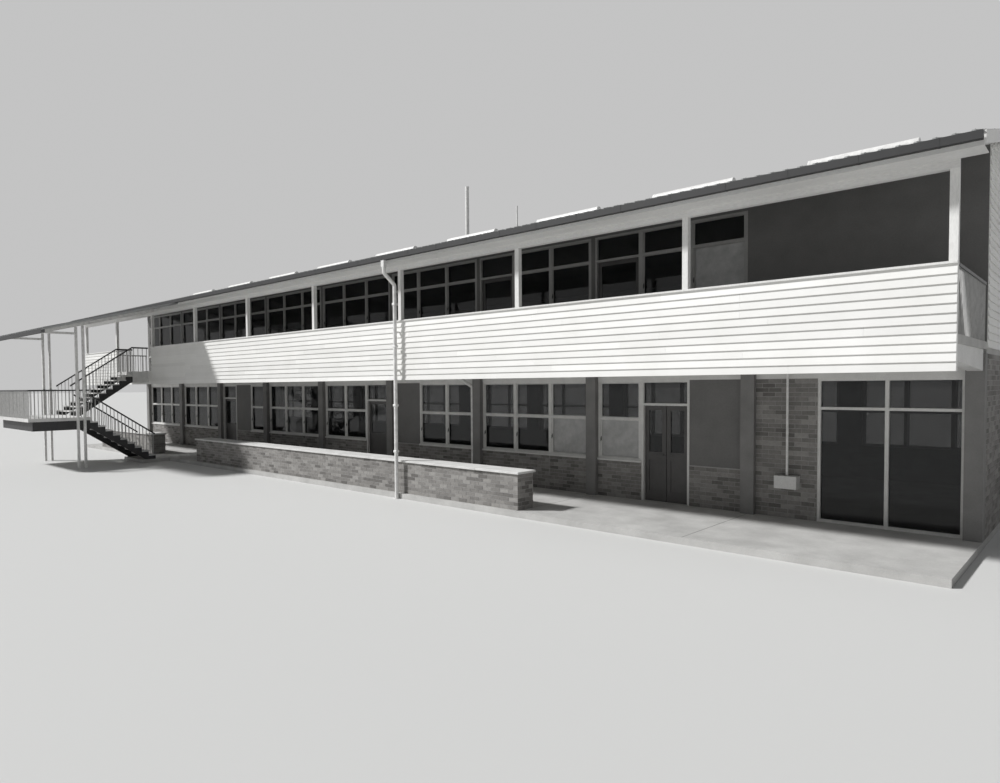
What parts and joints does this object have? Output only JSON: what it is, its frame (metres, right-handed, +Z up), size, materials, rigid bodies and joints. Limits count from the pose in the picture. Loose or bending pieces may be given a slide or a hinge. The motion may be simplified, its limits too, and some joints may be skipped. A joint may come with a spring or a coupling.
{
  "type": "two-storey school building with a front verandah and an outside stair",
  "caption": "Long two-storey school block: brick and glazed ground floor, white boarded verandah band, low roof with ridge ventilators, outside dog-leg stair.",
  "frame": {"origin": "ground level on the verandah's front line, half way along the building", "axes": "+X along the front to the right-hand end, +Y into the building, +Z up"},
  "size_m": [33.31, 15.035, 9.23],
  "materials": {
    "concrete": "float-finished concrete",
    "brick": "mixed mid-grey face brick, flush joints",
    "column_paint": "painted render",
    "white_boards": "white gloss paint on lapped boards",
    "white_trim": "white gloss paint",
    "frame_paint": "pale paint on window joinery",
    "door_paint": "dark paint",
    "panel_paint": "painted sheet",
    "window_glass": "clear sheet glass",
    "roof_sheet": "ribbed roof sheet",
    "gutter_dark": "dark paint",
    "beam_grey": "pale grey paint",
    "white_metal": "white paint",
    "stair_steel": "dark paint",
    "rail_steel": "dark paint",
    "tread_concrete": "pale precast tread",
    "coping": "pale cast coping",
    "trough_white": "glazed ware"
  },
  "bodies": {
    "building": {"barge_boards": "white_trim", "columns": "column_paint", "downpipes": "white_metal", "eaves_beam": "beam_grey", "eaves_linings": "beam_grey", "ground_door_frames": "frame_paint", "ground_door_lights": "window_glass", "ground_end_walls": "brick", "ground_front_brickwork": "brick", "ground_front_frames": "frame_paint", "ground_front_glass": "window_glass", "ground_front_panels": "panel_paint", "ground_head_beams": "frame_paint", "ground_rear_wall": "brick", "ground_slab": "concrete", "gutters": "gutter_dark", "planter_copings": "coping", "planter_walls": "brick", "rear_frames": "frame_paint", "rear_glass": "window_glass", "ridge_cap": "roof_sheet", "ridge_ventilators": "white_metal", "roof_front": "roof_sheet", "roof_pipes": "white_metal", "roof_rear": "roof_sheet", "stair_gutter": "gutter_dark", "stair_landing": "tread_concrete", "stair_landing_beams": "stair_steel", "stair_landing_railings": "rail_steel", "stair_lower_railings": "rail_steel", "stair_posts": "white_metal", "stair_roof": "roof_sheet", "stair_roof_frames": "white_metal", "stair_stringers": "stair_steel", "stair_top_landing": "tread_concrete", "stair_treads": "tread_concrete", "stair_upper_railings": "rail_steel", "upper_end_walls": "white_boards", "upper_floor": "concrete", "upper_front_doors": "door_paint", "upper_front_frames": "frame_paint", "upper_front_glass": "window_glass", "upper_front_wall": "panel_paint", "upper_rear_wall": "white_boards", "verandah_bands": "white_boards", "verandah_beams": "beam_grey", "verandah_caps": "white_trim", "verandah_deck": "concrete", "verandah_posts": "white_trim", "verandah_rafters": "beam_grey", "verandah_railings": "rail_steel", "wall_trough": "trough_white"},
    "door_1_left": {"door_1_left_glass": "window_glass", "door_1_left_leaf": "door_paint"},
    "door_1_right": {"door_1_right_glass": "window_glass", "door_1_right_leaf": "door_paint"},
    "door_2": {"door_2_glass": "window_glass", "door_2_leaf": "door_paint"},
    "door_3": {"door_3_glass": "window_glass", "door_3_leaf": "door_paint"}
  },
  "joints": [
    {"name": "door_1_left_swing", "type": "hinge", "parent": "building", "child": "door_1_left", "pos_m": [10.29233, 2.9303, 1.17], "axis": [0, 0, 1], "range_deg": [0, 90]},
    {"name": "door_1_right_swing", "type": "hinge", "parent": "building", "child": "door_1_right", "pos_m": [11.30767, 2.9303, 1.17], "axis": [0, 0, 1], "range_deg": [-90, 0]},
    {"name": "door_2_swing", "type": "hinge", "parent": "building", "child": "door_2", "pos_m": [0.60567, 2.9303, 1.17], "axis": [0, 0, 1], "range_deg": [0, 90]},
    {"name": "door_3_swing", "type": "hinge", "parent": "building", "child": "door_3", "pos_m": [-8.821, 2.9303, 1.17], "axis": [0, 0, 1], "range_deg": [0, 90]}
  ]
}
